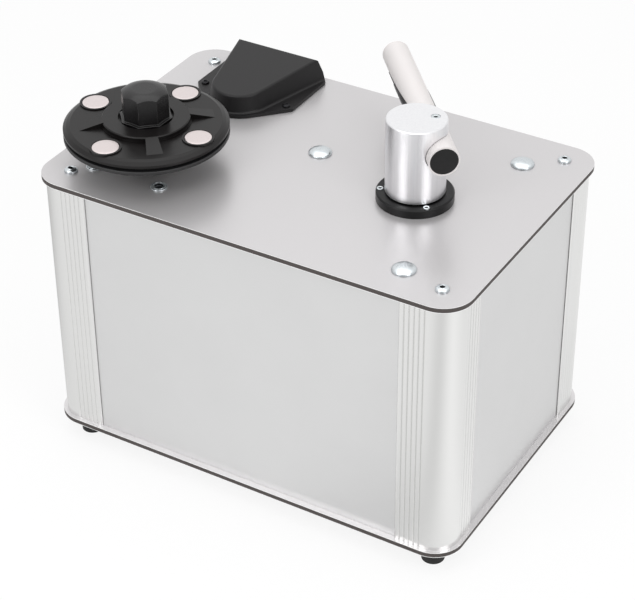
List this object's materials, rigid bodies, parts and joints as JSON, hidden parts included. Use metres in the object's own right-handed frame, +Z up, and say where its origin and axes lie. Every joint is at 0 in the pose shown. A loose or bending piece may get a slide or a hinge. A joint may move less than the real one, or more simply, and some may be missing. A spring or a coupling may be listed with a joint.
{
  "type": "record cleaning machine",
  "caption": "Vacuum record cleaning machine: silver box on rubber feet with a small driven platter, a screw-down clamp, a swinging suction arm on a post and a black exhaust cover.",
  "frame": {"origin": "centre of the footprint, on the surface that the feet stand on", "axes": "+X to the right along the long side, +Y to the back, +Z up"},
  "size_m": [0.335, 0.228, 0.2892],
  "materials": {
    "composite_plate": "satin lacquered aluminium skins on a dark core",
    "profile": "satin anodised extrusion",
    "panel": "satin silver",
    "turned_aluminium": "satin turned",
    "zinc_steel": "zinc plated",
    "black_screw": "black oxide",
    "steel": "plain",
    "spring_steel": "drawn wire",
    "nickel": "nickel plated",
    "brass": "turned",
    "copper_steel": "laminated iron and copper",
    "black_gloss": "polished black",
    "black_plastic": "moulded, fine texture",
    "cover_plastic": "satin moulding",
    "clamp_plastic": "satin black",
    "platter_black": "black",
    "tank_plastic": "natural polyethylene",
    "clear_tube": "translucent PVC",
    "rubber": "black",
    "mat_rubber": "black",
    "velvet": "short pile",
    "hose_grey": "smooth",
    "board": "glass fibre board with its parts",
    "anodised_black": "black anodised",
    "anodised_tube": "fine satin"
  },
  "bodies": {
    "cabinet": {"base_plate": "composite_plate", "deck_plate": "composite_plate", "corner_profile_fl": "profile", "corner_profile_fr": "profile", "corner_profile_rl": "profile", "corner_profile_rr": "profile", "front_panel": "panel", "rear_panel": "panel", "left_panel": "panel", "right_panel": "panel", "feet": "rubber", "corner_screws": "zinc_steel", "exhaust_cover": "cover_plastic", "cover_screws": "black_screw", "tank_bolts": "zinc_steel", "tank_nuts": "zinc_steel", "motor_screws": "zinc_steel", "arm_base_ring": "anodised_black", "arm_base_screws": "zinc_steel", "stem_bush": "black_plastic", "arm_spring": "spring_steel", "motor_plate": "steel", "gearbox": "steel", "gearmotor_can": "steel", "tank": "tank_plastic", "tank_lid": "tank_plastic", "vacuum_hose": "hose_grey", "drain_fittings": "black_plastic", "level_tube": "clear_tube", "vac_plenum": "black_plastic", "vac_shroud": "steel", "vac_frame": "copper_steel", "exhaust_duct": "black_plastic", "mains_inlet": "black_plastic", "inlet_pins": "brass", "switch_bodies": "black_plastic", "power_board": "board"},
    "platter_drive": {"platter": "platter_black", "platter_mat": "mat_rubber", "spindle": "steel"},
    "clamp": {"clamp_disc": "clamp_plastic", "clamp_magnets": "nickel", "clamp_knob": "clamp_plastic", "clamp_pad": "mat_rubber", "clamp_insert": "brass"},
    "arm_lift": {"arm_stem": "steel"},
    "arm_swing": {"arm_post": "turned_aluminium", "arm_tube": "anodised_tube", "arm_plugs": "black_gloss", "arm_set_screw": "zinc_steel", "suction_shoe": "black_plastic", "velvet_strips": "velvet"},
    "vac_spin": {"vac_impeller": "turned_aluminium", "vac_rotor": "copper_steel"},
    "vacuum_key": {"vacuum_rocker": "black_gloss"},
    "platter_key": {"platter_rocker": "black_gloss"},
    "drawer": {"fuse_drawer": "black_plastic"},
    "stopper": {"level_stopper": "rubber"}
  },
  "joints": [
    {"name": "platter_turn", "type": "hinge", "parent": "cabinet", "child": "platter_drive", "pos_m": [-0.1078, -0.0521, 0.25], "axis": [0, 0, 1], "continuous": true},
    {"name": "clamp_lift", "type": "slide", "parent": "platter_drive", "child": "clamp", "axis": [0, 0, 1], "range_m": [0, 0.06]},
    {"name": "arm_drop", "type": "slide", "parent": "cabinet", "child": "arm_lift", "axis": [0, 0, 1], "range_m": [-0.0008, 0], "stiffness_N_per_m": 1500, "springref_m": 0.004, "deforming": ["arm_spring"]},
    {"name": "arm_turn", "type": "hinge", "parent": "arm_lift", "child": "arm_swing", "pos_m": [0.0785, -0.0034, 0.2702], "axis": [0, 0, 1], "range_deg": [-35, 67.6]},
    {"name": "fan_turn", "type": "hinge", "parent": "cabinet", "child": "vac_spin", "pos_m": [-0.0963, 0.054, 0.1], "axis": [0, 0, 1], "continuous": true},
    {"name": "vacuum_switch", "type": "hinge", "parent": "cabinet", "child": "vacuum_key", "pos_m": [-0.16275, -0.054, 0.18], "axis": [0, 1, 0], "range_deg": [-16, 0]},
    {"name": "platter_switch", "type": "hinge", "parent": "cabinet", "child": "platter_key", "pos_m": [-0.16275, -0.029, 0.18], "axis": [0, 1, 0], "range_deg": [-8, 8]},
    {"name": "fuse_drawer_slide", "type": "slide", "parent": "cabinet", "child": "drawer", "axis": [0, 1, 0], "range_m": [0, 0.016]},
    {"name": "stopper_lift", "type": "slide", "parent": "cabinet", "child": "stopper", "axis": [0, 0, 1], "range_m": [0, 0.009]}
  ]
}
